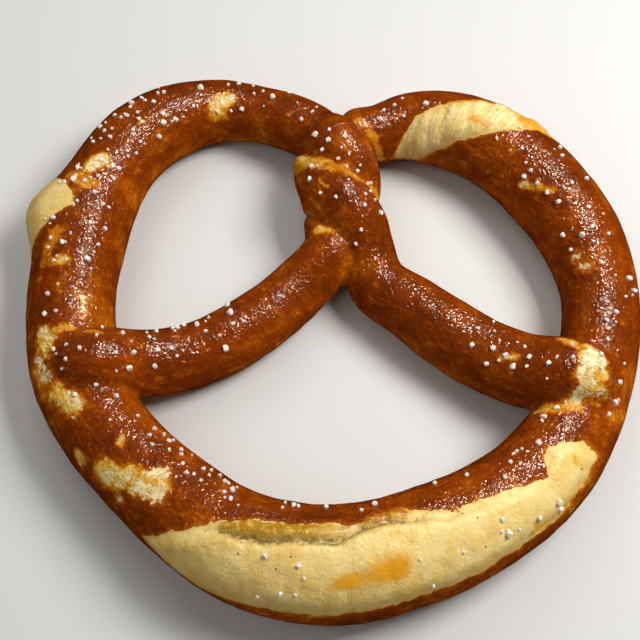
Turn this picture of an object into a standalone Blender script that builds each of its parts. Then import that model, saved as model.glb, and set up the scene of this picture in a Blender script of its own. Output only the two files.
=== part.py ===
"""A large soft pretzel, baked from one rope of dough that is looped, twisted and pressed onto itself.

Its belly has burst open along the front, and its right shoulder and left side have burst too. Coarse salt
is baked into the crust. It lies flat on its underside, with the belly towards -Y and the twist towards +Y.
Lengths in the tables are millimetres and angles are degrees; the finished mesh is scaled to metres.
"""

import math
import random

import bmesh
import bpy
import numpy as np
from mathutils import Euler, Matrix, Vector, noise
from mathutils.bvhtree import BVHTree

MM = 0.001

# Middle of the pretzel's box, as the tables place it: it becomes the origin
MIDDLE = (3.4, 0.2)

# The rope of dough
SIT = 0.86  # height of a lying strand's middle, as a share of its radius, so that its underside is flat
STATION_GAP = 2.0  # distance between the stations worked out along the rope
CURVE_STEPS = 16  # points worked out between two rows of the tables, before they are spaced evenly
ROPE_SIDES = 8  # bevel resolution of the swept rope
TIP_BLUNTNESS = 0.3  # radius left at the very tip of an arm

# Each row is x, y, the strand's radius, and how far it is lifted off the table by what it lies on
LEFT_ARM = [
    (-98, -25, 14.4, 11.5),
    (-85, -23.5, 15.0, 10.5),
    (-67, -19, 12.9, 4.0),
    (-50, -14, 12.8, 0.0),
    (-36, -7.5, 12.8, 0.0),
    (-21, 4, 12.4, 0.0),
    (-8, 17, 12.0, 0.0),
]
LEFT_LOOP = [
    (-10, 95, 12.0, 4.0),
    (-26, 102.5, 12.2, 1.0),
    (-43, 104.5, 13.4, 0.0),
    (-62, 98, 15.6, 0.0),
    (-78, 85, 16.4, 0.0),
    (-89, 65, 16.8, 0.0),
    (-95.5, 38, 17.4, 0.0),
    (-97.5, 10, 17.2, 0.0),
    (-93.5, -18, 17.4, 0.0),
    (-83, -41, 17.0, 0.0),
    (-69, -58, 17.0, 0.0),
]
BELLY = [
    (-54, -72, 17.8, 0.0),
    (-36, -86, 19.2, 0.0),
    (-18, -94, 20.2, 0.0),
    (0, -97, 20.6, 0.0),
    (20, -95, 20.4, 0.0),
    (41, -88, 19.6, 0.0),
    (59, -79, 18.8, 0.0),
]
RIGHT_LOOP = [
    (76, -67, 18.0, 0.0),
    (91, -49, 16.8, 0.0),
    (102, -27, 15.8, 0.0),
    (108.5, -5, 15.2, 0.0),
    (110, 16, 15.4, 0.0),
    (105.5, 37, 16.6, 0.0),
    (95, 58, 17.4, 0.0),
    (82, 75, 17.2, 0.0),
    (67, 87, 17.0, 0.0),
    (51, 94, 15.8, 0.0),
    (37, 96, 14.0, 0.0),
    (25, 91.5, 12.4, 1.5),
]
RIGHT_ARM = [
    (23, 18, 12.2, 0.0),
    (35, 8, 13.0, 0.0),
    (48, -3, 13.6, 0.0),
    (63, -13.5, 14.0, 0.0),
    (78, -22.5, 14.3, 4.0),
    (96, -29, 15.2, 10.5),
    (110, -31, 14.4, 12.0),
]

# The twist: both strands wind once round a line that runs down in Y
TWIST_X = (8.0, 6.8, 12.0)  # of the line at the top, half a turn down and at the bottom
TWIST_TOP = 87.5
TWIST_BOTTOM = 32.0
TWIST_SLACKENS = 0.8  # under 1, the twist is tighter at its top than at its bottom
TWIST_RADIUS = 11.8  # of each strand
TWIST_APART = 6.2  # from the line to a strand's middle, sideways
TWIST_RISE = 6.6  # the same, upwards
TWIST_HEIGHT = 17.0  # of the line above the table
TWIST_SETTLES = 0.35  # share of their rise that the strands have lost at the two ends of the twist
TWIST_SETTLES_NEAR = 4  # power that keeps this loss near the two ends
TWIST_STEPS = 8

# Middle of the ring, from which the angle round the pretzel is measured: 0 at +X and 90 at +Y
RING_MIDDLE = (5.0, 0.0)
RING_INSIDE = 60.0  # the arms and the twist lie nearer to the middle than this

# Bursts in the crust. Each row is the angle round the pretzel, then the angles round the strand where the
# burst begins, towards the middle, and ends, towards the rim. 0 is on top and 90 at the rim.
BELLY_BURST = [
    (-127, 70, 74),
    (-122, 38, 84),
    (-118, 19, 86),
    (-114, 1, 85),
    (-110, -10, 80),
    (-105, -17, 75),
    (-100, -22, 70),
    (-94, -25, 69),
    (-86, -22, 67),
    (-79, -29, 65),
    (-74, -26, 65),
    (-65, -9, 66),
    (-57, -5, 63),
    (-52, -1, 62),
    (-47, 7, 61),
    (-44, 12, 60),
    (-42, 0, 58),
    (-39, -9, 55),
    (-36, -2, 52),
    (-33, 20, 48),
]
SHOULDER_BURST = [
    (40, 46, 52),
    (43, 34, 60),
    (46, 8, 62),
    (49, -14, 56),
    (53, -34, 46),
    (57, -54, 32),
    (61, -74, 12),
    (65, -96, -3),
    (69, -110, -24),
    (72, -100, -82),
]
CRUMB_RISE = 1.4  # the bared crumb swells this far out of the crust
CRUMB_SLOPE = 7.0  # and gets there over this width
TEAR_DEPTH = 2.0  # of the tear that runs along the belly's burst, near its inner edge
TEAR_WIDTH = 2.0
TEAR_INSET = 3.6  # from the edge of the crust to the tear
TEAR_SPAN = (-120, -48)  # angles round the pretzel where it starts and ends
TEAR_FADE = 9.0

# Lumps that stand out of the strand: middle, reach and height
LUMPS = [
    ((-111, 46, 18), 14.0, 7.0),
    ((-60, -76, 27), 9.0, 0.9),
    ((40, 80, 10), 9.0, 1.4),
    ((-10, 72, 20), 5.0, 2.5),
    ((-4, 45, 20), 7.0, 4.0),
]
WAVE_HEIGHT = 0.5  # unevenness of hand-rolled dough
WAVE_LENGTH = 24.0
WAVE_START = Vector((3.1, 7.7, 1.3))  # where the unevenness is read from the noise
CREASE_DEPTH = 0.9  # where one strand lies against another
CREASE_WIDTH = 2.6
OTHER_STRAND = 45.0  # stations this far apart along the rope belong to different strands

# The faceted skin
WELD = 0.01
SKIN_VOXEL = 1.8
SKIN_SMOOTHING = 7  # rounds that soften the join of two strands
RELIEF_SMOOTHING = 2  # rounds that soften the relief and the creases
SOFTEN = 0.5  # how far a point moves in one round, as a share of the way to its neighbours' middle
SKIN_TRIANGLES = 7000
TABLE_WITHIN = 0.15  # what comes this near to the table lies on it
POINTS_AT_ONCE = 4000

# Coarse salt. Each row is where a patch begins and ends along the rope, where it begins and ends round
# the strand, and how many large grains it has.
SALT = [
    (3, 14, -30, 30, 2),
    (14, 74, -48, 38, 13),
    (130, 190, -60, 40, 7),
    (196, 262, -42, 38, 9),
    (262, 352, -46, 40, 34),
    (352, 432, -50, 25, 6),
    (436, 482, -58, -22, 11),
    (484, 580, -56, -34, 4),
    (500, 600, 10, 58, 7),
    (585, 632, -40, -14, 5),
    (632, 690, -30, 52, 8),
    (690, 770, -45, 35, 11),
    (800, 832, -20, 30, 3),
    (862, 905, -50, 40, 4),
    (968, 1008, -45, 40, 7),
]
GRAIN = (1.4, 2.2)  # side of the smallest and of the largest large grain
GRAIN_STRETCH = (0.75, 1.25)
GRAIN_OUT = 0.15  # how far a grain's middle lies above the crust, as a share of its side
GRAIN_GAP = 3.6  # least distance between the middles of two grains
GRAIN_LOWEST = 12.0  # no grain lies lower than this
GRAIN_TRIES = 60
LOOK_FROM = 2.0  # the crust under a grain is looked for from this many radii out
FACING = 0.5  # a grain falls on crust that faces it, within 60 degrees
SALT_SEED = 21

CRUST = (0.23, 0.065, 0.015, 1.0)
CRUST_ROUGHNESS = 0.35


def clear_scene():
    for item in list(bpy.data.objects):
        bpy.data.objects.remove(item, do_unlink=True)


def new_collection(name):
    collection = bpy.data.collections.new(name)
    bpy.context.scene.collection.children.link(collection)
    return collection


def baked_crust():
    material = bpy.data.materials.new("Baked crust")
    material.use_nodes = True
    shader = material.node_tree.nodes["Principled BSDF"]
    shader.inputs["Base Color"].default_value = CRUST
    shader.inputs["Roughness"].default_value = CRUST_ROUGHNESS
    shader.inputs["Metallic"].default_value = 0.0
    return material


def twist_strand(side):
    """One strand down the twist. Side -1 starts on the left and crosses over, side 1 crosses under."""
    rows = []
    lying = TWIST_RADIUS * SIT
    for step in range(TWIST_STEPS + 1):
        turn = step / TWIST_STEPS
        wound = turn**TWIST_SLACKENS
        line = np.interp(wound, (0, 0.5, 1), TWIST_X)
        phase = 2 * math.pi * wound
        settled = TWIST_SETTLES * (2 * turn - 1) ** TWIST_SETTLES_NEAR
        height = TWIST_HEIGHT - side * TWIST_RISE * math.sin(phase)
        lift = (height - lying) * (1 - settled)
        x = line + side * TWIST_APART * math.cos(phase)
        y = TWIST_TOP + (TWIST_BOTTOM - TWIST_TOP) * turn
        rows.append((x, y, TWIST_RADIUS, lift))
    return rows


def waypoints():
    """The rope from the left arm's tip to the right arm's tip, as rows of x, y, z and radius."""
    left = LEFT_ARM + twist_strand(-1)[::-1] + LEFT_LOOP
    right = RIGHT_LOOP + twist_strand(1) + RIGHT_ARM
    return np.array([(x, y, r * SIT + lift, r) for x, y, r, lift in left + BELLY + right])


def between(a, b, c, d, share):
    """A point of the centripetal Catmull-Rom curve between waypoints b and c."""
    knots = [0.0]
    for start, end in ((a, b), (b, c), (c, d)):
        knots.append(knots[-1] + math.sqrt(np.linalg.norm((end - start)[:3])))
    at = knots[1] + (knots[2] - knots[1]) * share

    def blend(first, last, i, j):
        return (first * (knots[j] - at) + last * (at - knots[i])) / (knots[j] - knots[i])

    ab, bc, cd = blend(a, b, 0, 1), blend(b, c, 1, 2), blend(c, d, 2, 3)
    return blend(blend(ab, bc, 0, 2), blend(bc, cd, 1, 3), 1, 2)


def stations():
    """Evenly spaced stations of the rope, and how far along it each one lies."""
    rows = waypoints()
    rows = np.vstack([2 * rows[0] - rows[1], rows, 2 * rows[-1] - rows[-2]])
    shares = [step / CURVE_STEPS for step in range(CURVE_STEPS)]
    fine = [between(*rows[i : i + 4], share) for i in range(len(rows) - 3) for share in shares]
    fine = np.array(fine + [rows[-2]])
    reached = np.concatenate([[0], np.cumsum(np.linalg.norm(np.diff(fine[:, :3], axis=0), axis=1))])
    along = np.linspace(0, reached[-1], round(reached[-1] / STATION_GAP) + 1)
    rope = np.stack([np.interp(along, reached, column) for column in fine.T], axis=1)
    for to_tip in (along, along[::-1]):
        end_radius = rope[to_tip.argmin(), 3]
        inwards = np.clip(1 - to_tip / end_radius, 0, 1)
        dome = end_radius * np.sqrt(1 - inwards**2) + TIP_BLUNTNESS
        rope[:, 3] = np.where(inwards > 0, np.minimum(rope[:, 3], dome), rope[:, 3])
    return rope, along


def strand_axes(rope):
    """At each station, the directions along the strand, towards the rim, and up."""
    forward = np.gradient(rope[:, :3], axis=0)
    forward /= np.linalg.norm(forward, axis=1)[:, None]
    outward = np.cross(forward, (0, 0, 1))
    outward /= np.linalg.norm(outward, axis=1)[:, None]
    return forward, outward, np.cross(outward, forward)


def place_on_rope(points, rope, along):
    """For each point: its station, the angle round the strand, and the distance to another strand."""
    forward, outward, upward = strand_axes(rope)
    station, other = [], []
    for start in range(0, len(points), POINTS_AT_ONCE):
        some = points[start : start + POINTS_AT_ONCE]
        clearance = np.linalg.norm(some[:, None] - rope[None, :, :3], axis=2) - rope[:, 3]
        nearest = clearance.argmin(axis=1)
        elsewhere = np.abs(along - along[nearest][:, None]) > OTHER_STRAND
        station.append(nearest)
        other.append(np.where(elsewhere, clearance, np.inf).min(axis=1))
    station = np.concatenate(station)
    reach = points - rope[station, :3]
    out = (reach * outward[station]).sum(axis=1)
    up = (reach * upward[station]).sum(axis=1)
    return station, np.degrees(np.arctan2(out, up)), np.concatenate(other)


def smooth(value):
    value = np.clip(value, 0, 1)
    return value * value * (3 - 2 * value)


def burst_depth(burst, points, radius, round_strand):
    """How far each point lies inside a burst, from its inner edge and from its nearer edge."""
    x = points[:, 0] - RING_MIDDLE[0]
    y = points[:, 1] - RING_MIDDLE[1]
    round_ring = np.degrees(np.arctan2(y, x))
    angle, begin, end = np.array(burst).T
    to_mm = math.pi / 180 * radius
    from_inner = (round_strand - np.interp(round_ring, angle, begin)) * to_mm
    from_outer = (np.interp(round_ring, angle, end) - round_strand) * to_mm
    there = (round_ring > angle[0]) & (round_ring < angle[-1]) & (np.hypot(x, y) > RING_INSIDE)
    nearer = np.where(there, np.minimum(from_inner, from_outer), -1.0)
    return from_inner, nearer, round_ring


def relief(points, rope, along):
    """How far the baked surface stands out of the even rope, at each point."""
    station, round_strand, other = place_on_rope(points, rope, along)
    radius = rope[station, 3]
    out = np.zeros(len(points))
    for burst in (BELLY_BURST, SHOULDER_BURST):
        from_inner, nearer, round_ring = burst_depth(burst, points, radius, round_strand)
        out += CRUMB_RISE * smooth(nearer / CRUMB_SLOPE)
        if burst is BELLY_BURST:
            started = smooth((round_ring - TEAR_SPAN[0]) / TEAR_FADE)
            ended = smooth((TEAR_SPAN[1] - round_ring) / TEAR_FADE)
            tear = np.exp(-(((from_inner - TEAR_INSET) / TEAR_WIDTH) ** 2))
            out -= np.where(nearer > 0, TEAR_DEPTH * tear * started * ended, 0)
    for middle, reach, height in LUMPS:
        out += height * np.exp(-((np.linalg.norm(points - middle, axis=1) / reach) ** 2))
    out -= CREASE_DEPTH * np.exp(-((other / CREASE_WIDTH) ** 2))
    waves = [noise.noise(Vector(point) / WAVE_LENGTH + WAVE_START) for point in points]
    return out + WAVE_HEIGHT * np.array(waves)


def link(name, data, collection):
    item = bpy.data.objects.new(name, data)
    collection.objects.link(item)
    return item


def freeze(item):
    """The object's mesh with its modifiers applied. The object itself is removed."""
    graph = bpy.context.evaluated_depsgraph_get()
    mesh = bpy.data.meshes.new_from_object(item.evaluated_get(graph))
    bpy.data.objects.remove(item, do_unlink=True)
    return mesh


def swept_rope(rope, collection):
    curve = bpy.data.curves.new("rope", "CURVE")
    curve.dimensions = "3D"
    curve.bevel_depth = 1.0
    curve.bevel_resolution = ROPE_SIDES
    curve.use_fill_caps = True
    spline = curve.splines.new("POLY")
    spline.points.add(len(rope) - 1)
    for point, (x, y, z, radius) in zip(spline.points, rope):
        point.co = (x, y, z, 1.0)
        point.radius = radius
    mesh = freeze(link("rope", curve, collection))
    weld(mesh)
    return mesh


def weld(mesh):
    shape = bmesh.new()
    shape.from_mesh(mesh)
    bmesh.ops.remove_doubles(shape, verts=shape.verts, dist=WELD)
    shape.to_mesh(mesh)
    shape.free()


def vertex_values(mesh, name):
    values = np.empty(len(mesh.vertices) * 3)
    mesh.vertices.foreach_get(name, values)
    return values.reshape(-1, 3)


def set_points(mesh, points):
    mesh.vertices.foreach_set("co", points.ravel())
    mesh.update()


def flatten_underside(mesh):
    """The dough sits on the table, so its underside is flat there."""
    points = vertex_values(mesh, "co")
    points[:, 2] = np.where(points[:, 2] < TABLE_WITHIN, 0, points[:, 2])
    set_points(mesh, points)


def soften(item, rounds):
    smoothing = item.modifiers.new("soften", "SMOOTH")
    smoothing.factor = SOFTEN
    smoothing.iterations = rounds


def baked_skin(rope, along, collection):
    """The pretzel without its salt: one closed skin with its bursts, lumps and creases."""
    lying = link("skin", swept_rope(rope, collection), collection)
    remesh = lying.modifiers.new("one skin", "REMESH")
    remesh.mode = "VOXEL"
    remesh.voxel_size = SKIN_VOXEL
    soften(lying, SKIN_SMOOTHING)
    mesh = freeze(lying)
    points = vertex_values(mesh, "co")
    normals = vertex_values(mesh, "normal")
    set_points(mesh, points + normals * relief(points, rope, along)[:, None])
    mesh.calc_loop_triangles()
    fine = link("skin", mesh, collection)
    soften(fine, RELIEF_SMOOTHING)
    fewer = fine.modifiers.new("fewer faces", "DECIMATE")
    fewer.ratio = SKIN_TRIANGLES / len(mesh.loop_triangles)
    fewer.use_collapse_triangulate = True
    mesh = freeze(fine)
    flatten_underside(mesh)
    return mesh


def salt_places(rope, along, mesh):
    """Where the large grains lie on the crust, and which way it faces there."""
    shape = bmesh.new()
    shape.from_mesh(mesh)
    crust = BVHTree.FromBMesh(shape)
    shape.free()
    outward, upward = strand_axes(rope)[1:]
    draw = random.Random(SALT_SEED)
    places = []
    for start, end, inner, outer, count in SALT:
        laid = 0
        for _ in range(GRAIN_TRIES * count):
            station = np.searchsorted(along, draw.uniform(start, end))
            angle = math.radians(draw.uniform(inner, outer))
            out = Vector(upward[station] * math.cos(angle) + outward[station] * math.sin(angle))
            middle = Vector(rope[station, :3])
            hit, facing = crust.ray_cast(middle + out * rope[station, 3] * LOOK_FROM, -out)[:2]
            bare = facing.dot(out) > FACING and hit.z > GRAIN_LOWEST
            if laid < count and bare and all((hit - at).length > GRAIN_GAP for at, _ in places):
                places.append((hit, facing))
                laid += 1
    return places


def salt_grain(number, place, out, draw, collection):
    """One blocky grain, half sunk in the crust."""
    shape = bmesh.new()
    bmesh.ops.create_cube(shape, size=1.0)
    mesh = bpy.data.meshes.new(f"grain {number}")
    shape.to_mesh(mesh)
    shape.free()
    side = draw.uniform(*GRAIN)
    turned = Euler([draw.uniform(0, 2 * math.pi) for _ in range(3)]).to_matrix().to_4x4()
    sides = [side * draw.uniform(*GRAIN_STRETCH) for _ in range(3)]
    mesh.transform(turned @ Matrix.Diagonal((*sides, 1)))
    mesh.transform(Matrix.Translation(place + out * side * GRAIN_OUT))
    return link(f"grain {number}", mesh, collection)


def salted(mesh, rope, along, collection):
    """The skin with its salt fused on."""
    grains = new_collection("Salt")
    draw = random.Random(SALT_SEED)
    for number, (place, out) in enumerate(salt_places(rope, along, mesh)):
        salt_grain(number, place, out, draw, grains)
    bare = link("skin", mesh, collection)
    union = bare.modifiers.new("salt", "BOOLEAN")
    union.operation = "UNION"
    union.operand_type = "COLLECTION"
    union.collection = grains
    union.solver = "EXACT"
    mesh = freeze(bare)
    for grain in list(grains.objects):
        bpy.data.objects.remove(grain, do_unlink=True)
    bpy.data.collections.remove(grains)
    return mesh


def build():
    clear_scene()
    collection = new_collection("Soft pretzel")
    rope, along = stations()
    mesh = salted(baked_skin(rope, along, collection), rope, along, collection)
    mesh.transform(Matrix.Scale(MM, 4) @ Matrix.Translation((-MIDDLE[0], -MIDDLE[1], 0)))
    mesh.materials.clear()
    mesh.materials.append(baked_crust())
    mesh.shade_smooth()
    link("pretzel", mesh, collection)


build()
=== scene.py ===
import math
import random

import bpy
import numpy as np
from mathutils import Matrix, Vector, noise
from mathutils.bvhtree import BVHTree


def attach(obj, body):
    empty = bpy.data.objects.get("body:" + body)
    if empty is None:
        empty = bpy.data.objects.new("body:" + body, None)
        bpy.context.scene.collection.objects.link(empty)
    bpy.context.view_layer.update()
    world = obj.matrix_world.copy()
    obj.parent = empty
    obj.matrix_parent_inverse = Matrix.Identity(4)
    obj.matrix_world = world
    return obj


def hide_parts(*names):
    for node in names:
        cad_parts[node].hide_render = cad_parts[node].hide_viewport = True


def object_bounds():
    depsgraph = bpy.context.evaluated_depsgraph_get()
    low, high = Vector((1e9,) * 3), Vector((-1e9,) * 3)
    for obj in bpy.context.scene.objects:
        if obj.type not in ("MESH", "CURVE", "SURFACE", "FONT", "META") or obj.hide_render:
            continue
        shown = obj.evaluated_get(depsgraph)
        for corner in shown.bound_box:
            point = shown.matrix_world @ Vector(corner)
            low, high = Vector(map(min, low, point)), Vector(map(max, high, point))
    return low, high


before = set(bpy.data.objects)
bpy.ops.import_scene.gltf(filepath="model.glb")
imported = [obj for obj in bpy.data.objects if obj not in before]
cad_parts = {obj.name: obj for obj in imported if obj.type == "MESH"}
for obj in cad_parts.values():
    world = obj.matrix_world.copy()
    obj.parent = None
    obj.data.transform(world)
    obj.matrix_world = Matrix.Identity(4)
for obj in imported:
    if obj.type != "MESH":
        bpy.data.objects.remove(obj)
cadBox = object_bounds()

# Pieces are modelled in millimetres, with the belly towards -Y, and brought to metres when they are done
middle = Vector((3.4, 0.2, 0.0))  # middle of the pretzel's box while it is modelled
millimetre = 0.001
spare = 0.0001  # what the model's width and depth leave of the part's box


# View: the camera stands where the photo was taken from
view = {"elevation": 62, "distance": 434, "lens": 63, "sensor": 36, "lookAt": (0, 0, 15)}


def addCamera():
    tilt = math.radians(view["elevation"])
    back = Vector((0, -math.cos(tilt), math.sin(tilt)))
    spot = (Vector(view["lookAt"]) - middle + back * view["distance"]) * millimetre
    bpy.ops.object.camera_add(location=spot, rotation=(math.pi / 2 - tilt, 0, 0))
    camera = bpy.context.object
    camera.data.lens = view["lens"]
    camera.data.sensor_width = view["sensor"]
    bpy.context.scene.camera = camera
    bpy.context.scene.view_settings.view_transform = "Standard"
    print("camera placed")


addCamera()


# Shader maths
class Wire:  # an output socket, so that shader maths reads as plain sums
    def __init__(self, paint, socket):
        self.paint = paint
        self.socket = socket

    def maths(self, operation, first, second):
        return self.paint.node("ShaderNodeMath", {"operation": operation}, {0: first, 1: second})

    def __add__(self, other):
        return self.maths("ADD", self, other)

    def __sub__(self, other):
        return self.maths("SUBTRACT", self, other)

    def __rsub__(self, other):
        return self.maths("SUBTRACT", other, self)

    def __mul__(self, other):
        return self.maths("MULTIPLY", self, other)

    def __abs__(self):
        return self.maths("ABSOLUTE", self, 0)

    __radd__ = __add__
    __rmul__ = __mul__


class Paint:  # a material and the nodes behind its surface
    def __init__(self, name):
        self.material = bpy.data.materials.new(name)
        self.material.use_nodes = True
        self.tree = self.material.node_tree
        self.surface = self.tree.nodes["Principled BSDF"]

    def feed(self, socket, value):
        if isinstance(value, Wire):
            self.tree.links.new(value.socket, socket)
        else:
            socket.default_value = value

    def node(self, kind, settings, sockets, output=0):
        made = self.tree.nodes.new(kind)
        for name, value in settings.items():
            if name == "stops":
                self.setStops(made.color_ramp, value)
            else:
                setattr(made, name, value)
        for name, value in sockets.items():
            self.feed(made.inputs[name], value)
        return Wire(self, made.outputs[output])

    def setStops(self, ramp, stops):
        while len(ramp.elements) < len(stops):
            ramp.elements.new(1.0)
        for element, (place, colour) in zip(ramp.elements, stops):
            element.position = place
            element.color = (*colour, 1)

    def place(self):  # object coordinates in millimetres
        spot = self.node("ShaderNodeTexCoord", {}, {}, "Object")
        return self.node("ShaderNodeVectorMath", {"operation": "SCALE"}, {0: spot, "Scale": 1 / millimetre})

    def value(self, name):
        return self.node("ShaderNodeAttribute", {"attribute_name": name}, {}, "Fac")

    def along(self, stretch):  # place on the straightened rope, drawn out by the stretch
        spot = self.node("ShaderNodeAttribute", {"attribute_name": "ropePlace"}, {}, "Vector")
        return self.node("ShaderNodeVectorMath", {"operation": "MULTIPLY"}, {0: spot, 1: stretch})

    def grain(self, place, size, detail=3, roughness=0.55):  # noise with features of that size, 0 to 1
        sockets = {"Vector": place, "Scale": 1 / size, "Detail": detail, "Roughness": roughness}
        return self.node("ShaderNodeTexNoise", {}, sockets)

    def dots(self, place, apart):  # distance from the nearest of scattered dots, in shares of their spacing
        return self.node("ShaderNodeTexVoronoi", {}, {"Vector": place, "Scale": 1 / apart})

    def rise(self, value, start, full):  # 0 at the start and beyond it, 1 where it is full
        sockets = {"Value": value, "From Min": start, "From Max": full}
        return self.node("ShaderNodeMapRange", {"interpolation_type": "SMOOTHSTEP"}, sockets)

    def mix(self, share, first, second):
        colours = [c if isinstance(c, Wire) else (*c, 1) for c in (first, second)]
        sockets = {0: share, 6: colours[0], 7: colours[1]}
        return self.node("ShaderNodeMix", {"data_type": "RGBA"}, sockets, 2)


# Rope: each row is x, y, the strand's radius, and how far it is lifted by what it lies on
rope = {
    "leftArm": [(-98, -25, 14.4, 11.5), (-85, -23.5, 15, 10.5), (-67, -19, 12.9, 4), (-50, -14, 12.8, 0),
                (-36, -7.5, 12.8, 0), (-21, 4, 12.4, 0), (-8, 17, 12, 0)],
    "leftLoop": [(-10, 95, 12, 4), (-26, 102.5, 12.2, 1), (-43, 104.5, 13.4, 0), (-62, 98, 15.6, 0),
                 (-78, 85, 16.4, 0), (-89, 65, 16.8, 0), (-95.5, 38, 17.4, 0), (-97.5, 10, 17.2, 0),
                 (-93.5, -18, 17.4, 0), (-83, -41, 17, 0), (-69, -58, 17, 0)],
    "belly": [(-54, -72, 17.8, 0), (-36, -86, 19.2, 0), (-18, -94, 20.2, 0), (0, -97, 20.6, 0),
              (20, -95, 20.4, 0), (41, -88, 19.6, 0), (59, -79, 18.8, 0)],
    "rightLoop": [(76, -67, 18, 0), (91, -49, 16.8, 0), (102, -27, 15.8, 0), (108.5, -5, 15.2, 0),
                  (110, 16, 15.4, 0), (105.5, 37, 16.6, 0), (95, 58, 17.4, 0), (82, 75, 17.2, 0),
                  (67, 87, 17, 0), (51, 94, 15.8, 0), (37, 96, 14, 0), (25, 91.5, 12.4, 1.5)],
    "rightArm": [(23, 18, 12.2, 0), (35, 8, 13, 0), (48, -3, 13.6, 0), (63, -13.5, 14, 0),
                 (78, -22.5, 14.3, 4), (96, -29, 15.2, 10.5), (110, -31, 14.4, 12)],
    "sit": 0.86,  # height of a lying strand's middle, as a share of its radius
    "gap": 2.0,  # between the rings that the rope is drawn out through
    "curveSteps": 16,
    "sides": 32,
    "tip": 0.3,  # radius at the very tip of an arm
    "otherStrand": 45,  # places this far apart along the rope are on different strands
    "atOnce": 4000,  # points that are measured against the rings in one go
}
twist = {
    "x": (8, 6.8, 12), "top": 87.5, "bottom": 32, "slackens": 0.8,
    "radius": 11.8, "apart": 6.2, "rise": 6.6, "height": 17, "settles": 0.35, "settlesNear": 4, "steps": 8,
}


def twistStrand(side):  # side -1 starts on the left and crosses over, side 1 crosses under
    rows = []
    lying = twist["radius"] * rope["sit"]
    for step in range(twist["steps"] + 1):
        turn = step / twist["steps"]
        wound = turn ** twist["slackens"]
        phase = 2 * math.pi * wound
        settled = twist["settles"] * (2 * turn - 1) ** twist["settlesNear"]
        height = twist["height"] - side * twist["rise"] * math.sin(phase)
        x = np.interp(wound, (0, 0.5, 1), twist["x"]) + side * twist["apart"] * math.cos(phase)
        y = twist["top"] + (twist["bottom"] - twist["top"]) * turn
        rows.append((x, y, twist["radius"], (height - lying) * (1 - settled)))
    return rows


def curvePoint(a, b, c, d, share):  # centripetal Catmull-Rom between b and c
    knots = [0.0]
    for start, end in ((a, b), (b, c), (c, d)):
        knots.append(knots[-1] + math.sqrt(np.linalg.norm((end - start)[:3])))
    at = knots[1] + (knots[2] - knots[1]) * share

    def blend(first, last, i, j):
        return (first * (knots[j] - at) + last * (at - knots[i])) / (knots[j] - knots[i])

    ab, bc, cd = blend(a, b, 0, 1), blend(b, c, 1, 2), blend(c, d, 2, 3)
    return blend(blend(ab, bc, 0, 2), blend(bc, cd, 1, 3), 1, 2)


def ropeRings():  # rows of x, y, z and radius, and how far along the rope each one is
    rows = rope["leftArm"] + twistStrand(-1)[::-1] + rope["leftLoop"] + rope["belly"]
    rows += rope["rightLoop"] + twistStrand(1) + rope["rightArm"]
    rows = np.array([(x, y, r * rope["sit"] + lift, r) for x, y, r, lift in rows])
    rows = np.vstack([2 * rows[0] - rows[1], rows, 2 * rows[-1] - rows[-2]])
    shares = [step / rope["curveSteps"] for step in range(rope["curveSteps"])]
    fine = [curvePoint(*rows[i : i + 4], share) for i in range(len(rows) - 3) for share in shares]
    fine = np.array(fine + [rows[-2]])
    lengths = np.linalg.norm(np.diff(fine[:, :3], axis=0), axis=1)
    reached = np.concatenate([[0], np.cumsum(lengths)])
    along = np.linspace(0, reached[-1], round(reached[-1] / rope["gap"]) + 1)
    rings = np.stack([np.interp(along, reached, column) for column in fine.T], axis=1)
    for toTip in (along, along[::-1]):  # the ends are domed
        endRadius = rings[toTip.argmin(), 3]
        inwards = np.clip(1 - toTip / endRadius, 0, 1)
        dome = endRadius * np.sqrt(1 - inwards**2) + rope["tip"]
        rings[:, 3] = np.where(inwards > 0, np.minimum(rings[:, 3], dome), rings[:, 3])
    return rings, along


def ropeAxes(rings):  # along the strand, towards the rim, and up
    forward = np.gradient(rings[:, :3], axis=0)
    forward /= np.linalg.norm(forward, axis=1)[:, None]
    outward = np.cross(forward, (0, 0, 1))
    outward /= np.linalg.norm(outward, axis=1)[:, None]
    return forward, outward, np.cross(outward, forward)


def drawnRope(rings):  # a ring is extruded along the route, and turned and resized at each step
    forward = ropeAxes(rings)[0]
    headings = np.arctan2(forward[:, 1], forward[:, 0])
    pitches = np.arcsin(forward[:, 2])
    spots = [Vector(ring[:3]) for ring in rings]
    bpy.ops.object.select_all(action="DESELECT")
    bpy.ops.mesh.primitive_circle_add(
        vertices=rope["sides"], radius=rings[0, 3], fill_type="NGON", location=spots[0],
        rotation=(0, math.pi / 2 - pitches[0], headings[0]))
    bread = bpy.context.object
    bread.name = "bread"
    bpy.ops.object.mode_set(mode="EDIT")
    for i in range(1, len(rings)):
        bpy.ops.mesh.extrude_region_move(TRANSFORM_OT_translate={"value": spots[i] - spots[i - 1]})
        # with no window a turn goes the other way, so these angles have the opposite sign
        pitched = pitches[i] - pitches[i - 1]
        for axis, turn in (("Z", headings[i - 1]), ("Y", pitched), ("Z", -headings[i])):
            bpy.ops.transform.rotate(value=turn, orient_axis=axis, center_override=spots[i])
        change = rings[i, 3] / rings[i - 1, 3]
        bpy.ops.transform.resize(value=(change, change, change), center_override=spots[i])
    bpy.ops.mesh.select_all(action="SELECT")
    bpy.ops.mesh.normals_make_consistent(inside=False)
    bpy.ops.object.mode_set(mode="OBJECT")
    bpy.ops.object.transform_apply(location=True, rotation=True, scale=True)
    print("rope drawn out through", len(rings), "rings")
    return bread


def modify(piece, kind, settings):
    bpy.ops.object.modifier_add(type=kind)
    modifier = piece.modifiers[-1]
    for name, value in settings.items():
        setattr(modifier, name, value)
    bpy.ops.object.modifier_apply(modifier=modifier.name)


def meshValues(piece, name):
    values = np.empty(len(piece.data.vertices) * 3, dtype=np.float32)
    piece.data.vertices.foreach_get(name, values)
    return values.reshape(-1, 3).astype(float)


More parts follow.
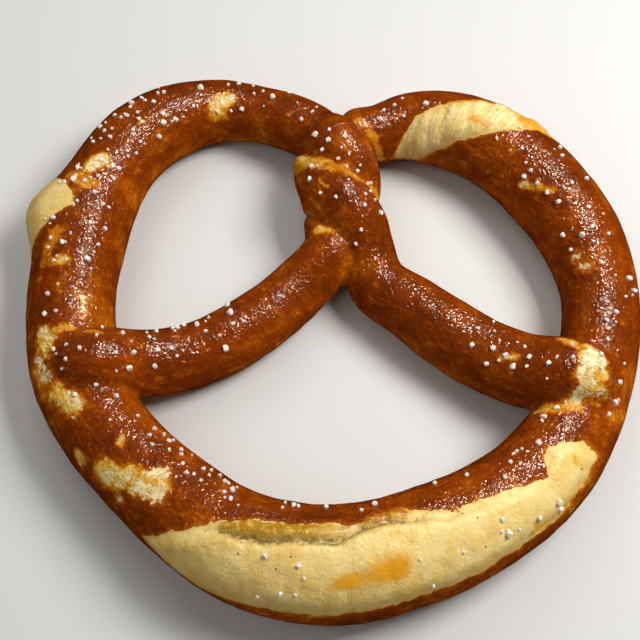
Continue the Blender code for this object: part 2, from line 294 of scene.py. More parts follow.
# Where a point lies on the rope
def placeOnRope(points, rings, along):
    outward, upward = ropeAxes(rings)[1:]
    nearest, other = [], []
    for some in np.array_split(points, len(points) // rope["atOnce"] + 1):
        clearance = np.linalg.norm(some[:, None] - rings[None, :, :3], axis=2) - rings[:, 3]
        near = clearance.argmin(axis=1)
        elsewhere = np.abs(along - along[near][:, None]) > rope["otherStrand"]
        nearest.append(near)
        other.append(np.where(elsewhere, clearance, np.inf).min(axis=1))
    nearest = np.concatenate(nearest)
    reach = points - rings[nearest, :3]
    sideways = (reach * outward[nearest]).sum(axis=1)
    upwards = (reach * upward[nearest]).sum(axis=1)
    angle = np.degrees(np.arctan2(sideways, upwards))
    return {"angle": angle, "radius": rings[nearest, 3], "other": np.concatenate(other),
            "straight": np.stack([along[nearest], sideways, upwards], axis=1)}


def smooth(value):
    value = np.clip(value, 0, 1)
    return value * value * (3 - 2 * value)


def noiseAt(points, size, shift):  # -1 to 1
    return np.array([noise.noise(Vector(point) / size + Vector((shift, shift, shift))) for point in points])


# Bursts: angle round the pretzel, then the angles round the strand where the burst begins and ends
burst = {
    "belly": [(-127, 70, 74), (-122, 38, 84), (-118, 19, 86), (-114, 1, 85), (-110, -10, 80), (-105, -17, 75),
              (-100, -22, 70), (-94, -25, 69), (-86, -22, 67), (-79, -29, 65), (-74, -26, 65), (-65, -9, 66),
              (-57, -5, 63), (-52, -1, 62), (-47, 7, 61), (-44, 12, 60), (-42, 0, 58), (-39, -9, 55),
              (-36, -2, 52), (-33, 20, 48)],
    "shoulder": [(40, 46, 52), (43, 34, 60), (46, 8, 62), (49, -14, 56), (53, -34, 46), (57, -54, 32),
                 (61, -74, 12), (65, -96, -3), (69, -110, -24), (72, -100, -82)],
    "bulge": [(152, 60, 70), (153, 32, 108), (155, 11, 120), (157.5, 5, 126), (160, 21, 126), (163, 37, 122),
              (166, 62, 112), (170, 80, 88)],
    "ringMiddle": (5, 0),
    "ringInside": 60,  # the arms and the twist lie nearer to the middle than this
    "rise": {"belly": 1.4, "shoulder": 1.4, "bulge": 0.3},
    "ribbed": {"belly": 0.2, "shoulder": 1.0, "bulge": 0.2},
    "slope": 7,  # the swelling's full height is reached this far in
    "crumbSetsIn": 3,  # and the folds and lumps of the crumb this far in
    "outside": -9,
    # the tear along the belly: angle round the pretzel, how far inside the crust's edge, and depth
    "tear": [(-118, 1, 0), (-114, 3.1, 1.5), (-110, 6, 2.4), (-104, 7.5, 2.6), (-98, 6.4, 2.6), (-91, 7, 2.6),
             (-88, 5.6, 2.4), (-85, 2.4, 2), (-79, 4.2, 2.2), (-74, 4.3, 1.6), (-67, 3.8, 0.7),
             (-64, 1.8, 0.5), (-60, 2.9, 0.4), (-56, 7, 0)],
    "tearWidth": (0.5, 0.4),  # of a shallow tear, and what each millimetre of depth adds
    "tearWaves": (3, 7, 0.9),  # size of its waves, where the noise for them is read, and their height
    "tearShadeFull": 2.2,  # depth at which the painted shadow in the tear is fully dark
    # the tear's brown lip: where round the pretzel it starts, thins and ends, and over how many degrees
    "lipStart": (-116, 5), "lipThins": (-100, 8), "lipEnd": (-70, 8),
    "lipLeft": 0.48,  # share of it that is left where it has thinned
    "lipReach": (0.6, 1.2),  # how far over the tear's line it ends, and over how many millimetres
    "ragged": ((6, 0.9), (2.6, 0.5)),  # size and height of the waves in a torn edge
}


def roundRing(points):
    x = points[:, 0] - burst["ringMiddle"][0]
    y = points[:, 1] - burst["ringMiddle"][1]
    return np.degrees(np.arctan2(y, x)), np.hypot(x, y)


def burstDepth(name, points, place):  # from the inner edge, and from the nearest edge
    around, reach = roundRing(points)
    angle, begin, end = np.array(burst[name]).T
    toMillimetres = math.pi / 180 * place["radius"]
    fromInner = (place["angle"] - np.interp(around, angle, begin)) * toMillimetres
    fromOuter = (np.interp(around, angle, end) - place["angle"]) * toMillimetres
    fromEnds = np.minimum(around - angle[0], angle[-1] - around) * math.pi / 180 * reach
    nearer = np.minimum(np.minimum(fromInner, fromOuter), fromEnds)
    nearer = np.where(reach > burst["ringInside"], nearer, burst["outside"])
    return fromInner, np.maximum(nearer, burst["outside"])


def ribbedShare(points, place):
    shares = burst["ribbed"].items()
    depths = [(burstDepth(name, points, place)[1], share) for name, share in shares]
    return np.max([smooth(depth / burst["crumbSetsIn"]) * share for depth, share in depths], axis=0)


def tearAt(points, place):  # how far over the tear's line, how deep it is there, and its profile
    fromInner, nearer = burstDepth("belly", points, place)
    angle, inset, depth = np.array(burst["tear"]).T
    around = roundRing(points)[0]
    size, shift, height = burst["tearWaves"]
    across = fromInner - np.interp(around, angle, inset) - height * noiseAt(points, size, shift)
    depth = np.where(nearer > 0, np.interp(around, angle, depth, left=0, right=0), 0)
    width = burst["tearWidth"][0] + burst["tearWidth"][1] * depth
    return across, depth, np.exp(-((across / width) ** 2))


# Relief of the baked surface, as part of the rope's form
relief = {
    "voxel": 1.16, "softenFirst": 16, "softenLast": 2, "soften": 0.5, "tableWithin": 0.15,
    # where a lump is, its reach and its height: the bulge, two swellings, the twist's flank and the torn lips
    "lumps": [((-111, 46, 18), 14, 7.0), ((-60, -76, 27), 9, 0.9), ((40, 80, 10), 9, 1.4),
              ((-10, 72, 20), 5, 2.5), ((-4, 45, 20), 7, 4),
              ((17, -87, 37), 3.4, 1.6), ((26, -84, 36), 3, 1.3)],
    "wave": (24, 0.5), "waveStart": (3.1, 7.7, 1.3),
    # sizes, where the noise is read, and height; the ribs are torn folds across the crumb, wide and long
    "dimples": (6, 0, 0.22), "crumbLumps": (4.2, 5, 0.3), "ribs": (3.4, 14, 2, 1.0),
    "creaseDepth": 1.4, "creaseWidth": 2.4,
}


def reliefOf(points, place):
    out = np.zeros(len(points))
    crumb = np.zeros(len(points))
    for name, rise in burst["rise"].items():
        nearer = burstDepth(name, points, place)[1]
        out += rise * smooth(nearer / burst["slope"])
        crumb = np.maximum(crumb, smooth(nearer / burst["crumbSetsIn"]))
    ribbed = ribbedShare(points, place)
    across, depth, profile = tearAt(points, place)
    out -= depth * profile
    for spot, reach, height in relief["lumps"]:
        out += height * np.exp(-((np.linalg.norm(points - spot, axis=1) / reach) ** 2))
    out -= relief["creaseDepth"] * np.exp(-((place["other"] / relief["creaseWidth"]) ** 2))
    size, height = relief["wave"]
    start = Vector(relief["waveStart"])
    out += height * np.array([noise.noise(Vector(point) / size + start) for point in points])
    size, shift, height = relief["dimples"]
    out += height * noiseAt(points, size, shift)
    size, shift, height = relief["crumbLumps"]
    out += height * crumb * noiseAt(points, size, shift)
    wide, long, shift, height = relief["ribs"]
    return out + height * ribbed * noiseAt(place["straight"] / (wide, long, long), 1, shift)


def pushOut(piece, name, amounts):  # a vertex group holds the shares, and Displace the whole distance
    whole = np.abs(amounts).max()
    group = piece.vertex_groups.new(name=name)
    for index, share in enumerate(np.abs(amounts) / whole):
        if share > 0:
            group.add([index], share, "REPLACE")
    strength = whole if amounts.sum() > 0 else -whole
    modify(piece, "DISPLACE", {"vertex_group": name, "strength": strength, "mid_level": 0})
    piece.vertex_groups.remove(piece.vertex_groups[name])


def flattenUnderside(piece):  # the dough sits on the table
    low = meshValues(piece, "co")[:, 2] < relief["tableWithin"]
    piece.data.polygons.foreach_set("select", [False] * len(piece.data.polygons))
    piece.data.edges.foreach_set("select", [False] * len(piece.data.edges))
    piece.data.vertices.foreach_set("select", low)
    bpy.ops.object.mode_set(mode="EDIT")
    bpy.ops.transform.resize(value=(1, 1, 0), center_override=(0, 0, 0))
    bpy.ops.object.mode_set(mode="OBJECT")


def bakedForm(bread, rings, along):
    modify(bread, "REMESH", {"mode": "VOXEL", "voxel_size": relief["voxel"]})
    modify(bread, "SMOOTH", {"factor": relief["soften"], "iterations": relief["softenFirst"]})
    points = meshValues(bread, "co")
    place = placeOnRope(points, rings, along)
    out = reliefOf(points, place)
    pushOut(bread, "swells", np.maximum(out, 0))
    pushOut(bread, "sinks", np.minimum(out, 0))
    modify(bread, "SMOOTH", {"factor": relief["soften"], "iterations": relief["softenLast"]})
    flattenUnderside(bread)
    bpy.ops.object.shade_smooth()
    print("bread has", len(bread.data.polygons), "faces")
    return place


# Marks: strokes with a half-width and the points they run through, as x, y and z on the crust
marks = {
    "lace": [
        (1.7, [(-104, -14, 30), (-102, -13, 31)]), (1.2, [(-100, -16, 31), (-103, -20, 30), (-101, -19, 31)]),
        (1.9, [(-103, -23, 30), (-98, -27, 34)]), (2.0, [(-99, -27, 33), (-102, -31, 28)]),
        (1.7, [(-95, -34, 31)]), (0.8, [(-94, -31, 35)]), (1.9, [(-91, -38, 31), (-88, -42, 31)]),
        (0.9, [(-86, -44, 31), (-88, -42, 31), (-88, -47, 30)]),
        (0.8, [(-98, -39, 27), (-94, -42, 29), (-91, -45, 30)]), (2.4, [(-104, -24, 27), (-102, -30, 27)]),
        (1.6, [(-100, -29, 28)]),
        (0.9, [(-7, 72, 21), (-4, 65, 28), (-2, 61, 31), (2, 59, 33)]), (0.5, [(67, -22, 27), (72, -23, 29)]),
        (0.9, [(81, 55, 27), (84, 54, 28)]), (0.8, [(87, 54, 30)]), (0.7, [(91, 50, 31)]),
        (2.6, [(-74, -68, 28)]), (1.7, [(-66, -69, 31)]), (1.5, [(-70, -72, 29)]),
        (2.6, [(-63, -74, 31), (-55, -77, 33)]), (2.3, [(-59, -70, 33), (-54, -70, 33)]),
        (1.0, [(-70, -76, 26)]), (0.9, [(-63, -78, 29)]), (1.0, [(-77, -64, 28)]), (1.0, [(-84, -62, 25)]),
        (0.8, [(-86, -60, 24)]),
        (1.0, [(89, -17, 33), (91, -19, 35), (93, -22, 37)]),
        (3.0, [(98, -25, 38), (96, -29, 38), (95, -36, 37)]),
        (2.7, [(94, -38, 36), (92, -41, 31)]), (1.9, [(101, -26, 38), (103, -32, 38), (104, -36, 37)]),
        (2.0, [(101, -40, 34), (100, -41, 32)]), (1.6, [(90, -41, 31)]),
        (2.8, [(-92, 61, 31), (-88, 65, 31)]), (1.5, [(-89, -4, 30), (-89, 1, 30)]), (1.2, [(-99, 7, 32)]),
        (1.0, [(-99, 18, 32)]), (0.9, [(-73, 85, 30)]), (2.4, [(-44, 98, 24), (-38, 102, 25)]),
        (1.0, [(-45, 95, 23)]), (1.5, [(100, 22, 26)]), (1.4, [(102, 17, 27)]),
        (0.5, [(-70, -55, 31), (-70, -58, 32)]),
    ],
    "gold": [
        (8.5, [(-10, 69, 22), (-5, 66, 28)]), (6.5, [(-5, 66, 29), (3, 62, 32), (10, 57, 33)]),
        (5.5, [(10, 57, 33), (16, 55, 30), (20, 55, 23), (24, 54, 17)]), (2.8, [(11, 88, 29), (17, 88, 26)]),
        (2.8, [(17, 88, 26), (22, 83, 23), (24, 80, 19), (26, 79, 11)]), (3.5, [(-1, 36, 24), (4, 34, 24)]),
        (1.0, [(-1, 55, 33), (0, 52, 33), (3, 49, 34)]),
        (2.6, [(-99, -13, 32), (-92, -12, 32), (-86, -14, 35)]),
        (1.6, [(-86, -14, 35), (-80, -16, 35)]), (1.5, [(-66, -19, 30)]), (1.2, [(-66, -24, 29)]),
        (1.0, [(-64, -21, 30)]), (6.0, [(-44, 97, 24), (-40, 102, 25), (-44, 90, 22)]),
        (1.8, [(67, -22, 27), (73, -23, 29)]), (1.6, [(68, -26, 27), (70, -28, 27)]),
        (5.0, [(80, -42, 25), (84, -43, 29), (92, -43, 31)]), (3.5, [(89, -17, 33), (93, -22, 37)]),
        (8.0, [(97, -25, 38), (97, -37, 36)]), (6.0, [(-98, 56, 31), (-92, 53, 32)]), (4.0, [(-89, 52, 31)]),
        (5.0, [(-102, 30, 31), (-105, 22, 30)]), (4.0, [(-98, 17, 32), (-106, 17, 30)]),
        (6.0, [(-92, 61, 31), (-88, 65, 31)]), (2.2, [(33, 92, 25)]), (3.0, [(80, 55, 27), (92, 50, 31)]),
        (6.0, [(-103, -14, 30), (-101, -28, 32)]), (6.0, [(-97, -35, 30), (-89, -43, 31)]),
        (8.0, [(-76, -67, 28), (-57, -74, 33)]), (5.0, [(-86, -60, 24)]),
        (2.0, [(-70, -55, 31), (-70, -58, 32)]),
    ],
    "toast": [
        (5.0, [(6, -108, 35), (15, -106, 35), (19, -105, 35)]), (7.0, [(19, -105, 35), (26, -103, 36)]),
        (2.4, [(73, -86, 29)]), (2.2, [(66, -90, 29)]), (1.6, [(50, -87, 36)]),
        (5.0, [(-107, 63, 24), (-113, 57, 20), (-118, 48, 14)]),
        (9.0, [(58, 99, 26), (66, 99, 25), (74, 97, 24), (83, 93, 24), (89, 88, 24), (95, 80, 25)]),
        (6.5, [(84, 84, 31), (91, 79, 30)]), (3.0, [(62, 85, 31), (68, 82, 31)]),
        (4.5, [(54, 96, 30), (62, 97, 30), (71, 95, 30), (77, 93, 29), (83, 89, 29), (90, 80, 29)]),
    ],
    "tongue": [
        (3.0, [(15, -87, 36), (22, -86.6, 36.2)]), (2.5, [(25, -84, 35.2), (28, -85, 35.7)]),
        (1.2, [(96, -67, 25), (93, -70, 26)]), (1.3, [(89, -75, 26), (85, -80, 26)]), (1.0, [(83, -76, 29)]),
        (1.1, [(78, -85, 27), (72, -89, 27)]), (0.9, [(88, -62, 32), (89, -66, 32)]),
    ],
}


def strokeField(name, points, soft):  # depth inside the strokes, or with soft a share that fades outwards
    field = np.full(len(points), float(burst["outside"]))
    dot = (0, 0, 0.01)  # a stroke of one point is made this long
    for width, spots in marks[name]:
        spots = np.array(spots, dtype=float)
        ends = list(zip(spots, spots[1:])) or [(spots[0], spots[0] + dot)]
        for start, end in ends:
            share = np.clip(((points - start) @ (end - start)) / ((end - start) @ (end - start)), 0, 1)
            distance = np.linalg.norm(points - start - share[:, None] * (end - start), axis=1)
            field = np.maximum(field, 1 - distance / width if soft else width - distance)
    return smooth(field) if soft else field


def lipShare(points, place, across):  # how much of the tear's brown lip is at each point
    around = roundRing(points)[0]
    start, thins, end = burst["lipStart"], burst["lipThins"], burst["lipEnd"]
    reach, fade = burst["lipReach"]
    lip = smooth((around - start[0]) / start[1]) * smooth((end[0] - around) / end[1])
    lip *= 1 - (1 - burst["lipLeft"]) * smooth((around - thins[0]) / thins[1])
    inBelly = burstDepth("belly", points, place)[1] > 0
    return np.where(inBelly, lip * smooth((reach - across) / fade), 0)


def paintMarks(bread, place):  # what the paint needs to know about each point of the crust
    points = meshValues(bread, "co")
    ragged = sum(height * noiseAt(points, size, size) for size, height in burst["ragged"])
    bare = np.max([burstDepth(name, points, place)[1] for name in burst["rise"]], axis=0)
    across, depth, profile = tearAt(points, place)
    values = {
        "bare": bare + ragged,
        "lip": lipShare(points, place, across),
        # how deep the tear is, which sets how dark its painted shadow is
        "crevice": profile * np.clip(depth / burst["tearShadeFull"], 0, 1),
        "lace": strokeField("lace", points, soft=False),
        "gold": strokeField("gold", points, soft=True),
        "toast": strokeField("toast", points, soft=True),
        "tongue": strokeField("tongue", points, soft=False),
        "seam": place["other"],
        "ribbed": ribbedShare(points, place),
        "upness": np.cos(np.radians(place["angle"])),
    }
    for name, amounts in values.items():
        attribute = bread.data.attributes.new(name, "FLOAT", "POINT")
        attribute.data.foreach_set("value", amounts.astype(np.float32))
    attribute = bread.data.attributes.new("ropePlace", "FLOAT_VECTOR", "POINT")
    attribute.data.foreach_set("vector", place["straight"].astype(np.float32).ravel())
    print("marks laid on the crust")


def fitToPart(piece):  # scale and shift to metres that keep it just inside the part's box
    spots = meshValues(piece, "co")
    low, high = spots.min(axis=0), spots.max(axis=0)
    partLow, partHigh = np.array(cadBox)
    scale = np.minimum(millimetre, (partHigh - partLow - spare) / (high - low))
    shift = (partLow + partHigh) / 2 - scale * (low + high) / 2
    scale[2], shift[2] = millimetre, 0
    return Vector(scale), Vector(shift)


def toMetres(piece, scale, shift):
    bpy.ops.object.select_all(action="DESELECT")
    piece.select_set(True)
    bpy.context.view_layer.objects.active = piece
    piece.scale = scale
    piece.location = shift
    bpy.ops.object.transform_apply(location=True, rotation=True, scale=True)


# Crust and crumb: how pale each place is baked chooses its colour, and shade is painted into the seams, the
# tear, the crumb's grooves and its pores
crust = {
    "bake": [(0.0, (0.040, 0.006, 0.001)), (0.2, (0.095, 0.014, 0.001)), (0.4, (0.205, 0.033, 0.001)),
             (0.55, (0.350, 0.075, 0.002)), (0.68, (0.500, 0.170, 0.005)), (0.82, (0.640, 0.340, 0.035)),
             (1.0, (0.760, 0.560, 0.200))],
    "lace": (0.81, 0.65, 0.36), "laceDull": (0.66, 0.48, 0.19),
    "cream": (0.73, 0.54, 0.195), "butter": (0.68, 0.43, 0.10), "toasted": (0.66, 0.28, 0.008),
    # the groove colour is painted shade in the hollows between the crumb's fibres
    "fibre": (0.84, 0.71, 0.38), "grooveShade": (0.52, 0.34, 0.09),
    "amber": (0.34, 0.17, 0.004), "lipBrown": (0.44, 0.16, 0.004), "lipPale": (0.60, 0.40, 0.06),
    # painted shade: crevice is the dark shadow down in the tear, shade the soft shadow along it, pore the
    # shade in the crumb's small pits
    "crevice": (0.13, 0.075, 0.015), "tongue": (0.60, 0.33, 0.02), "tongueCore": (0.34, 0.085, 0.003),
    "shade": (0.40, 0.29, 0.09), "pore": (0.14, 0.07, 0.02),
    "roughness": 0.13, "crumbRoughness": 0.32, "laceRougher": 0.2, "patchRougher": 0.1, "specular": 0.3,
    # how pale the crust is baked, and what each pattern and each kind of place adds to it; the darkening
    # right in a seam is painted shade
    "level": 0.41,
    "paler": {"blotches": 0.6, "streaks": 0.24, "coarse": 0.32, "fine": 0.22, "crown": -0.07,
              "flakes": 0.12, "nearBurst": 0.14, "nearSeam": 0.06, "seam": -0.1, "gold": 0.31,
              "nearLace": 0.16, "flank": 0.12},
    # each noise: its size in millimetres, its detail and its roughness; pores have only their spacing
    "noises": {"blotches": (16, 4), "coarse": (4.5, 3, 0.6), "torn": (2.3, 2, 0.6), "fine": (1.4, 3),
               "streaks": (2.2, 4, 0.65), "veins": (3.4, 2, 0.5), "dulled": (5.5, 3, 0.6),
               "mottled": (7, 4, 0.65), "fibres": (1.6, 3, 0.6), "worms": (1.9, 1), "blisters": (1.7, 1),
               "peel": (2.6, 3, 0.6), "crumb": (1.0, 3, 0.6)},
    "streaksAlong": (0.14, 1, 1), "fibresAcross": (1, 0.14, 0.14), "poresApart": 6.5,
    "veinsThin": 0.006,  # each millimetre further into the lace
    "turnedButter": 0.13,  # more of the butter colour where the crumb turns away from the top
    "moist": 0.5,  # share of the crumb's dryness that the lip, the tongues and the crevice lack
    # how much of the noises makes the edge of each mark and mask ragged
    "ragged": {"bare": {"coarse": 1.5, "torn": 2.6}, "lace": {"coarse": 3.5, "torn": 6},
               "gold": {"coarse": 1.3, "streaks": 0.6}, "toast": {"coarse": 0.5, "streaks": 0.3},
               "lip": {"fine": 0.5}, "tongue": {"coarse": 2}, "crevice": {"fine": 1.4, "torn": 1.6},
               "upness": {"coarse": 0.8}, "flakes": {"fine": 0.5}, "flank": {"coarse": -0.6},
               "mottled": {"coarse": 0.3}, "lipBrown": {"fine": 0.3}, "lipPale": {"fine": 0.3},
               "pore": {"fine": -0.05}},
    # where each mask starts and where it is full
    "edges": {"wrinkled": (0.1, 0.7), "crumb": (-0.2, 0.2), "lace": (-0.4, 0.9), "veins": (0.008, 0.04),
              "crown": (0.6, 1.0), "flakes": (0.12, 0.24), "nearBurst": (-2.5, 0), "nearSeam": (6, 3),
              "seam": (1.2, 0), "gold": (0.05, 0.7), "nearLace": (-3.0, -0.2), "flank": (0.6, -0.5),
              "dulled": (0.42, 0.6), "turned": (1.0, 0.3), "mottled": (0.38, 0.68), "fibre": (0.42, 0.66),
              "grooveShade": (0.48, 0.32), "toasted": (0.0, 0.8), "rim": (2.0, 0.0), "lipBrown": (-0.04, 0.16),
              "lipPale": (0.0, 0.2), "lip": (0.25, 0.7), "tongue": (-0.5, 0.5), "tongueCore": (0.5, 1.4),
              "shade": (0.02, 0.5), "crevice": (0.43, 0.98), "pore": (0.07, 0.05), "patch": (0, -0.3),
              "worms": (0, 0.12)},
    # how strongly each colour covers what lies under it
    "cover": {"fibre": 0.5, "plainFibre": 0.1, "grooveShade": 0.35, "toasted": 0.97, "rim": 0.4, "lipPale": 0.8,
              "tongue": 0.9, "shade": 0.5, "crevice": 0.75, "pore": 0.85},
    # height of the relief in millimetres, where the crust is smooth and what is added where it is wrinkled
    "heights": {"worms": (0.01, 0.07), "blisters": (0.03, 0.42), "peel": (0.25, 0.12), "crust": 0.2,
                "crumb": 0.22, "fibres": (0.1, 0.6), "crumbBlisters": 0.2, "crumbCoarse": 0.3, "pores": -0.4,
                "laceFlatter": 0.6},
}


def crustPaint():
    paint = Paint("bakedCrust")
    place = paint.place()
    paler, cover, heights = crust["paler"], crust["cover"], crust["heights"]

    def noiseOf(name, where=place):
        return paint.grain(where, *crust["noises"][name])

    noises = {name: noiseOf(name) - 0.5 for name in ("blotches", "coarse", "torn", "fine")}
    noises["streaks"] = noiseOf("streaks", paint.along(crust["streaksAlong"])) - 0.5
    blotches, coarse, torn = noises["blotches"], noises["coarse"], noises["torn"]

    def ragged(name, value):
        return sum((noises[kind] * share for kind, share in crust["ragged"][name].items()), value)

    def mark(name):  # a mark on the crust, with a ragged edge
        return ragged(name, paint.value(name))

    def mask(name, value):
        return paint.rise(value, *crust["edges"][name])

    def raised(name, share):  # from its least height to its whole height
        least, added = heights[name]
        return share * added + least

    upness = paint.value("upness")
    ribbed = paint.value("ribbed")
    seam = paint.value("seam")
    wrinkled = mask("wrinkled", upness + blotches + coarse)
    bareEdge = mark("bare")
    crumbMask = mask("crumb", bareEdge)
    laceEdge = mark("lace")
    veins = abs(noiseOf("veins") - 0.5) + laceEdge * crust["veinsThin"]
    laceMask = mask("lace", laceEdge) * mask("veins", veins)

    level = sum((noise * paler[name] for name, noise in noises.items() if name in paler), crust["level"])
    level = level + mask("crown", mark("upness")) * paler["crown"]
    level = level + mask("flakes", ragged("flakes", torn)) * wrinkled * paler["flakes"]
    level = level + mask("nearBurst", bareEdge) * paler["nearBurst"]
    # near a seam the crust is baked paler, and right in the crease it is darker, which is painted shade
    level = level + mask("nearSeam", seam) * paler["nearSeam"] + mask("seam", seam) * paler["seam"]
    level = level + mask("gold", mark("gold")) * paler["gold"]
    level = level + mask("nearLace", laceEdge) * paler["nearLace"]
    level = level + mask("flank", ragged("flank", upness)) * paler["flank"]
    baked = paint.node("ShaderNodeValToRGB", {"stops": crust["bake"]}, {"Fac": level})
    lace = paint.mix(mask("dulled", noiseOf("dulled")), crust["lace"], crust["laceDull"])
    baked = paint.mix(laceMask, baked, lace)

    fibres = noiseOf("fibres", paint.along(crust["fibresAcross"]))
    turned = mask("turned", mark("upness"))
    mottled = mask("mottled", ragged("mottled", noiseOf("mottled")) + turned * crust["turnedButter"])
    crumb = paint.mix(mottled, crust["cream"], crust["butter"])
    fibreShare = mask("fibre", fibres) * (ribbed * cover["fibre"] + cover["plainFibre"])
    crumb = paint.mix(fibreShare, crumb, crust["fibre"])
    # painted shade in the grooves between the fibres, on the ribbed crumb
    crumb = paint.mix(mask("grooveShade", fibres) * ribbed * cover["grooveShade"], crumb, crust["grooveShade"])
    crumb = paint.mix(mask("toasted", mark("toast")) * cover["toasted"], crumb, crust["toasted"])
    crumb = paint.mix(mask("rim", bareEdge) * cover["rim"], crumb, crust["toasted"])
    lip = paint.mix(mask("lipBrown", ragged("lipBrown", coarse)), crust["amber"], crust["lipBrown"])
    lip = paint.mix(mask("lipPale", ragged("lipPale", torn)) * cover["lipPale"], lip, crust["lipPale"])
    lipMask = mask("lip", mark("lip"))
    crumb = paint.mix(lipMask, crumb, lip)
    tongue = mark("tongue")
    tongueMask = mask("tongue", tongue)
    crumb = paint.mix(tongueMask * cover["tongue"], crumb, crust["tongue"])
    crumb = paint.mix(mask("tongueCore", tongue) * cover["tongue"], crumb, crust["tongueCore"])
    # painted shade: a dark shadow down in the tear's crevice and a soft shadow along it
    creviceShadeMask = mask("crevice", mark("crevice"))
    crumb = paint.mix(mask("shade", paint.value("crevice")) * cover["shade"], crumb, crust["shade"])
    crumb = paint.mix(creviceShadeMask * cover["crevice"], crumb, crust["crevice"])
    # pores: small pits in the crumb, painted dark as the shade inside them
    poreMask = mask("pore", ragged("pore", paint.dots(place, crust["poresApart"])))
    crumb = paint.mix(poreMask * cover["pore"], crumb, crust["pore"])
    paint.feed(paint.surface.inputs["Base Color"], paint.mix(crumbMask, baked, crumb))

    dry = crumbMask
    for moistMask in (lipMask, tongueMask, creviceShadeMask):
        dry = dry * (1 - moistMask * crust["moist"])
    dull = dry * (crust["crumbRoughness"] - crust["roughness"])
    matt = laceMask * (1 - crumbMask) * crust["laceRougher"]
    matt = matt + mask("patch", blotches + coarse) * crust["patchRougher"]
    paint.feed(paint.surface.inputs["Roughness"], crust["roughness"] + dull + matt)
    paint.surface.inputs["Specular IOR Level"].default_value = crust["specular"]

    worms = mask("worms", abs(noiseOf("worms") - 0.5))  # a net of fine wrinkles
    blisters = noiseOf("blisters")
    crustHeight = worms * raised("worms", wrinkled) + blisters * raised("blisters", wrinkled)
    crustHeight = crustHeight + noiseOf("peel") * raised("peel", wrinkled)
    crustHeight = crustHeight * (1 - laceMask * heights["laceFlatter"]) + heights["crust"]
    crumbHeight = noiseOf("crumb") * heights["crumb"] + fibres * raised("fibres", ribbed)
    crumbHeight = crumbHeight + blisters * heights["crumbBlisters"] + coarse * heights["crumbCoarse"]
    crumbHeight = crumbHeight + poreMask * heights["pores"]
    height = crustHeight * (1 - crumbMask) + crumbHeight * crumbMask
    bump = paint.node("ShaderNodeBump", {}, {"Strength": 1, "Distance": millimetre, "Height": height})
    paint.feed(paint.surface.inputs["Normal"], bump)
    return paint.material


def makeBread():
    rings, along = ropeRings()
    bread = drawnRope(rings)
    place = bakedForm(bread, rings, along)
    paintMarks(bread, place)
    bread.data.materials.append(crustPaint())
    return bread, rings, along


# Salt: each row is where a patch begins and ends along the rope, its angles round the strand, and its grains
salt = {
    "patches": [(3, 14, -30, 30, 2), (14, 74, -48, 38, 13), (130, 190, -60, 40, 7), (196, 262, -42, 38, 9),
                (262, 352, -46, 40, 34), (352, 432, -50, 25, 6), (436, 482, -58, -22, 11),
                (484, 580, -56, -34, 4), (500, 600, 10, 58, 7), (585, 632, -40, -14, 5),
                (632, 690, -30, 52, 8), (690, 770, -45, 35, 11), (800, 832, -20, 30, 3),
                (862, 905, -50, 40, 4), (968, 1008, -45, 40, 7)],
    "side": (1.15, 1.9), "stretch": (0.75, 1.3), "out": 0.15, "gap": 3.6, "lowest": 12, "tries": 60,
    "lookFrom": 2, "facing": 0.5, "seed": 21, "shapes": 5, "bevel": 0.17, "uneven": 0.15,
    "smallSide": (0.8, 1.3), "smallGap": 2.2, "smallPerGrain": 1.2,
    "clear": (0.74, 0.63, 0.54), "cloudy": (0.86, 0.78, 0.70), "cloudSize": 0.9, "cloudEdge": (0.35, 0.7),
    "roughness": 0.3, "cloudyRougher": 0.3, "pitSize": 0.35, "pitDepth": 0.1, "pitStrength": 0.6,
    "scatter": 0.25, "scatterRadius": (0.001, 0.0008, 0.0006),
}


def saltPlaces(bread, rings, along, seed, gap, share):
    crustTree = BVHTree.FromObject(bread, bpy.context.evaluated_depsgraph_get())
    outward, upward = ropeAxes(rings)[1:]
    draw = random.Random(seed)
    places = []
    for start, end, inner, outer, count in salt["patches"]:
        laid = 0
        for _ in range(salt["tries"] * count):
            ring = np.searchsorted(along, draw.uniform(start, end))
            angle = math.radians(draw.uniform(inner, outer))
            out = Vector(upward[ring] * math.cos(angle) + outward[ring] * math.sin(angle))
            start3 = Vector(rings[ring, :3]) + out * rings[ring, 3] * salt["lookFrom"]
            hit, facing = crustTree.ray_cast(start3, -out)[:2]
            bare = facing.dot(out) > salt["facing"] and hit.z > salt["lowest"]
            if laid < count * share and bare and all((hit - at).length > gap for at, _ in places):
                places.append((hit, facing))
                laid += 1
    return places


def grainShapes():  # a few blocky crystals, bevelled and knocked out of true
    shapes = []
    for number in range(salt["shapes"]):
        bpy.ops.object.select_all(action="DESELECT")
        bpy.ops.mesh.primitive_cube_add(size=1)
        bpy.ops.object.mode_set(mode="EDIT")
        bpy.ops.mesh.bevel(offset=salt["bevel"], segments=1)
        bpy.ops.mesh.select_all(action="SELECT")
        bpy.ops.transform.vertex_random(offset=salt["uneven"], seed=number)
        bpy.ops.object.mode_set(mode="OBJECT")
        shapes.append(bpy.context.object)
    return shapes


def layGrains(shapes, places, sides, seed):
    draw = random.Random(seed)
    laid = []
    for number, (spot, out) in enumerate(places):
        side = draw.uniform(*sides)
        grain = shapes[number % len(shapes)].copy()
        grain.data = grain.data.copy()
        bpy.context.scene.collection.objects.link(grain)
        grain.rotation_euler = [draw.uniform(0, 2 * math.pi) for _ in range(3)]
        grain.scale = [side * draw.uniform(*salt["stretch"]) for _ in range(3)]
        grain.location = spot + out * side * salt["out"]
        laid.append(grain)
    return laid


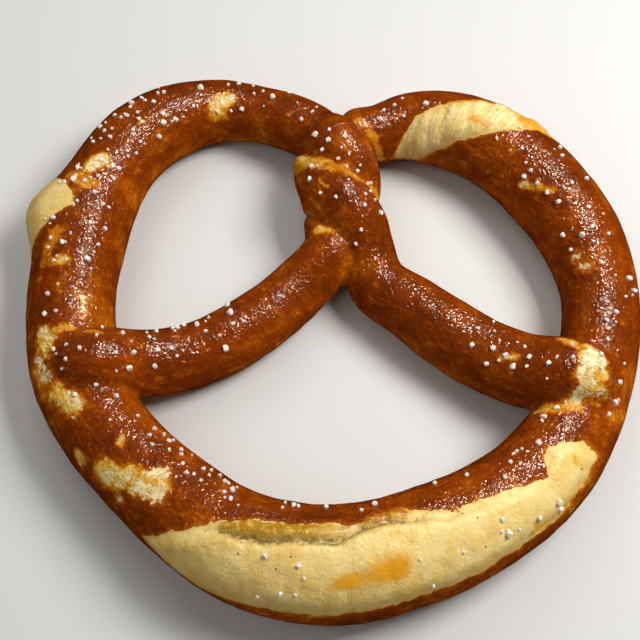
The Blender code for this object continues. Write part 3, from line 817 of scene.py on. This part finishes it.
def saltPaint():
    paint = Paint("saltGrains")
    place = paint.place()
    cloudy = paint.rise(paint.grain(place, salt["cloudSize"], 2), *salt["cloudEdge"])
    paint.feed(paint.surface.inputs["Base Color"], paint.mix(cloudy, salt["clear"], salt["cloudy"]))
    paint.feed(paint.surface.inputs["Roughness"], salt["roughness"] + cloudy * salt["cloudyRougher"])
    pitted = paint.grain(place, salt["pitSize"], 2)
    sockets = {"Strength": salt["pitStrength"], "Distance": salt["pitDepth"] * millimetre, "Height": pitted}
    bump = paint.node("ShaderNodeBump", {}, sockets)
    paint.feed(paint.surface.inputs["Normal"], bump)
    paint.surface.inputs["Subsurface Weight"].default_value = salt["scatter"]
    paint.surface.inputs["Subsurface Radius"].default_value = salt["scatterRadius"]
    return paint.material


def makeSalt(bread, rings, along):
    shapes = grainShapes()
    large = saltPlaces(bread, rings, along, salt["seed"], salt["gap"], 1)
    small = saltPlaces(bread, rings, along, salt["seed"] + 1, salt["smallGap"], salt["smallPerGrain"])
    grains = layGrains(shapes, large, salt["side"], salt["seed"])
    grains += layGrains(shapes, small, salt["smallSide"], salt["seed"] + 1)
    for shape in shapes:
        bpy.data.objects.remove(shape)
    bpy.ops.object.select_all(action="DESELECT")
    for grain in grains:
        grain.select_set(True)
    bpy.context.view_layer.objects.active = grains[0]
    bpy.ops.object.transform_apply(location=True, rotation=True, scale=True)
    bpy.ops.object.join()
    pile = bpy.context.object
    pile.name = "salt"
    pile.data.materials.clear()
    pile.data.materials.append(saltPaint())
    print("salt has", len(large), "grains and", len(small), "flecks")
    return pile


bread, rings, along = makeBread()
pile = makeSalt(bread, rings, along)
scale, shift = fitToPart(bread)
for piece, slot in ((bread, "crust"), (pile, "salt")):
    toMetres(piece, scale, shift)
    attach(piece, "root")
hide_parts("pretzel")


# Stage: a plain pale floor and soft light, with a small lamp high at the back that glints in the crust
stage = {
    "floorSize": 6, "floor": (0.60, 0.59, 0.57), "floorRoughness": 0.8,
    "lights": [  # where it hangs, its size and its power
        ((0.45, 0.12, 0.60), 0.35, 7.0),
        ((-0.45, -0.30, 0.70), 0.60, 1.4),
        ((-0.25, 0.50, 0.60), 0.50, 2.0),
    ],
    "glint": ((0.22, 0.34, 0.60), 0.06, 7.0), "glintColour": (1.0, 0.84, 0.64),  # the same for the small one
    "sky": (0.95, 0.97, 1.0), "skyStrength": 0.11,
}


def hangLamp(spot, size, power):
    turn = (-Vector(spot)).to_track_quat("-Z", "Y").to_euler()
    bpy.ops.object.light_add(type="AREA", location=spot, rotation=turn)
    lamp = bpy.context.object
    lamp.data.size = size
    lamp.data.energy = power
    return lamp


def setStage():
    bpy.ops.mesh.primitive_plane_add(size=stage["floorSize"])
    floor = bpy.context.object
    floor.name = "floor"
    plain = Paint("paleFloor")
    plain.surface.inputs["Base Color"].default_value = (*stage["floor"], 1)
    plain.surface.inputs["Roughness"].default_value = stage["floorRoughness"]
    floor.data.materials.append(plain.material)
    floor.visible_glossy = False
    for spot, size, power in stage["lights"]:
        hangLamp(spot, size, power).visible_glossy = False  # so that they lay no pale veil on the crust
    glint = hangLamp(*stage["glint"])
    glint.data.color = stage["glintColour"]
    glint.visible_diffuse = False
    sky = bpy.data.worlds.new("studio")
    sky.use_nodes = True
    glow = sky.node_tree.nodes["Background"]
    glow.inputs["Color"].default_value = (*stage["sky"], 1)
    glow.inputs["Strength"].default_value = stage["skyStrength"]
    sky.cycles_visibility.glossy = False
    bpy.context.scene.world = sky
    print("stage set")


setStage()
